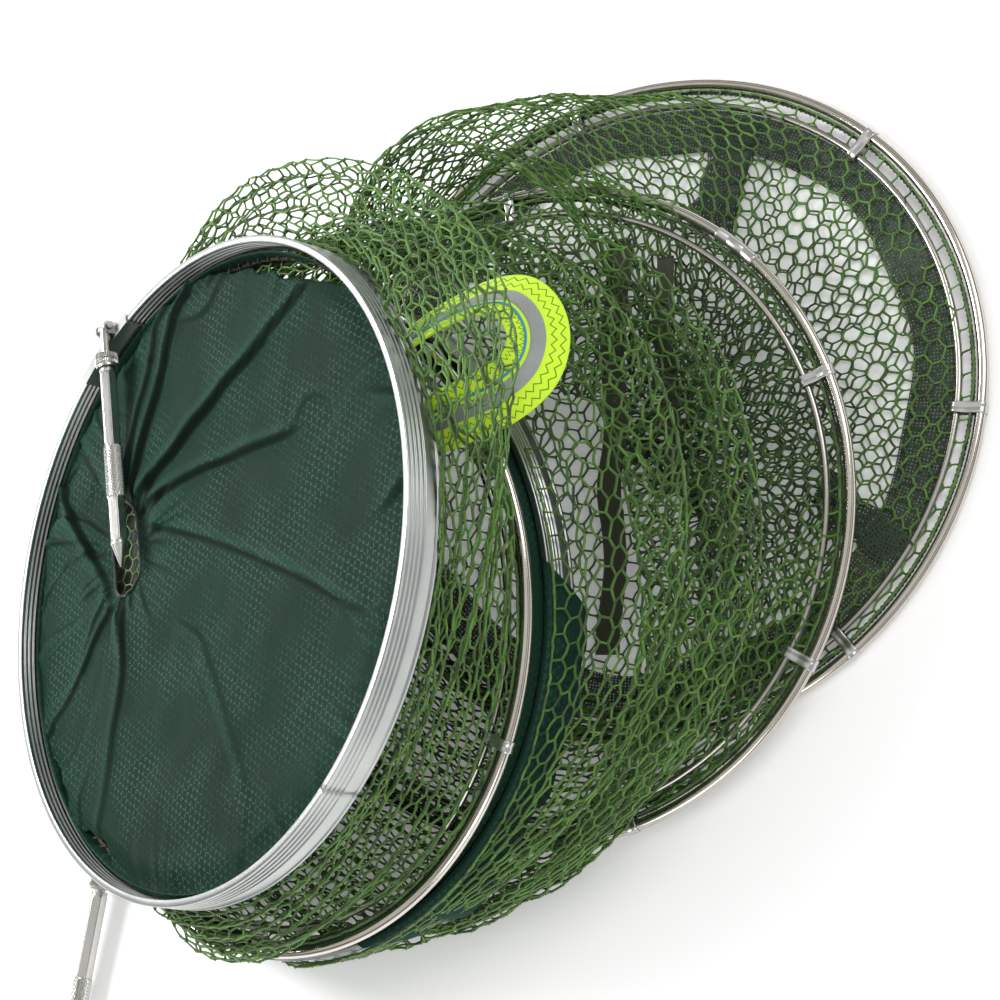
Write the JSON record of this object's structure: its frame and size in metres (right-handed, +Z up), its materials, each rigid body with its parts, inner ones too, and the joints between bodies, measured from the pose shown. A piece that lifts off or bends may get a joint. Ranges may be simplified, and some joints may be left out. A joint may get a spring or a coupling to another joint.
{
  "type": "collapsible keep-style landing net",
  "caption": "Collapsed ring net lying flat: ribbed alloy bands, double-wire hoops, knotless netting bays, fabric funnel mouth, folding bank spikes and a webbing lift loop.",
  "frame": {"origin": "centre of the base hoop, on the floor plane under its wrap clips", "axes": "+Z up; +X from the mouth band towards the base hoop; +Y to the left when facing +X; the base hoop lies flat and the other rings fan out over it towards -X"},
  "size_m": [0.7665, 0.4975, 0.2129],
  "materials": {
    "polished_tube": "polished",
    "net_wire": "bright drawn wire",
    "hem_cord": "woven edging",
    "clip_strip": "brushed strip",
    "green_net": "knotless netting",
    "dark_webbing": "fine mesh and webbing",
    "brown_tape": "woven tape",
    "brown_cord": "twisted lacing",
    "band_alloy": "polished, ribbed",
    "joiner_alloy": "mill finish",
    "ripstop": "coated ripstop",
    "neon_webbing": "stitched webbing",
    "reflective": "retroreflective tape",
    "bracket_sheet": "folded sheet",
    "pin_steel": "plain",
    "rod_metal": "bright",
    "collar_metal": "fluted"
  },
  "bodies": {
    "base_frame": {"base_hoop_tube": "polished_tube", "base_net_wire": "net_wire", "base_hem_cord": "hem_cord", "base_ferrule": "clip_strip", "base_clips": "clip_strip", "base_panel": "green_net", "base_trim_band": "dark_webbing", "base_straps": "dark_webbing", "net_base_bay": "green_net"},
    "lower_hoop": {"hoop3_tube": "polished_tube", "hoop3_net_wire": "net_wire", "hoop3_hem_cord": "hem_cord", "hoop3_ferrule": "clip_strip", "hoop3_clips": "clip_strip", "side_tapes": "brown_tape", "net_lower_bay": "green_net"},
    "middle_band": {"mid_band": "band_alloy", "mid_band_joiner": "joiner_alloy", "mid_sleeve": "ripstop", "bracket_b": "bracket_sheet", "pivot_pin_b": "pin_steel"},
    "upper_hoop": {"hoop2_tube": "polished_tube", "hoop2_net_wire": "net_wire", "hoop2_hem_cord": "hem_cord", "hoop2_ferrule": "clip_strip", "hoop2_clips": "clip_strip", "net_upper_bay": "green_net"},
    "mouth_ring": {"mouth_band": "band_alloy", "mouth_band_joiner": "joiner_alloy", "mouth_funnel": "ripstop", "mouth_skirt": "ripstop", "lacing_cord": "brown_cord", "lift_loop": "neon_webbing", "lift_loop_reflector": "reflective", "bracket_a": "bracket_sheet", "pivot_pin_a": "pin_steel"},
    "spike_a": {"spike_a_stub": "rod_metal", "spike_a_rod": "rod_metal", "spike_a_tip": "rod_metal"},
    "collar_a": {"spike_a_collar": "collar_metal"},
    "spike_b": {"spike_b_stub": "rod_metal", "spike_b_rod": "rod_metal", "spike_b_tip": "rod_metal"},
    "collar_b": {"spike_b_collar": "collar_metal"}
  },
  "joints": [
    {"name": "lower_hoop_slide", "type": "slide", "parent": "base_frame", "child": "lower_hoop", "axis": [0.3793, 0.2151, 0.8999], "range_m": [0, 0.22], "deforming": ["net_base_bay"]},
    {"name": "middle_band_slide", "type": "slide", "parent": "lower_hoop", "child": "middle_band", "axis": [0.6144, 0.0455, 0.7877], "range_m": [0, 0.275], "deforming": ["net_lower_bay"]},
    {"name": "upper_hoop_slide", "type": "slide", "parent": "middle_band", "child": "upper_hoop", "axis": [-0.2351, -0.0569, 0.9703], "range_m": [0, 0.045], "deforming": ["mid_sleeve"]},
    {"name": "mouth_ring_slide", "type": "slide", "parent": "upper_hoop", "child": "mouth_ring", "axis": [0.1124, -0.2024, 0.9728], "range_m": [0, 0.2], "deforming": ["net_upper_bay"]},
    {"name": "spike_a_fold", "type": "hinge", "parent": "mouth_ring", "child": "spike_a", "pos_m": [-0.31838, 0.18683, 0.09459], "axis": [-0.9204, 0.102, -0.3775], "range_deg": [0, 180]},
    {"name": "spike_b_fold", "type": "hinge", "parent": "middle_band", "child": "spike_b", "pos_m": [-0.45801, -0.12167, 0.01107], "axis": [-0.855, 0.4869, -0.1786], "range_deg": [0, 80]},
    {"name": "collar_a_turn", "type": "hinge", "parent": "spike_a", "child": "collar_a", "pos_m": [-0.32192, 0.16164, 0.09643], "axis": [-0.139, -0.9877, 0.072], "continuous": true},
    {"name": "collar_b_turn", "type": "hinge", "parent": "spike_b", "child": "collar_b", "pos_m": [-0.47052, -0.14388, 0.01039], "axis": [-0.4905, -0.871, -0.0265], "continuous": true}
  ]
}
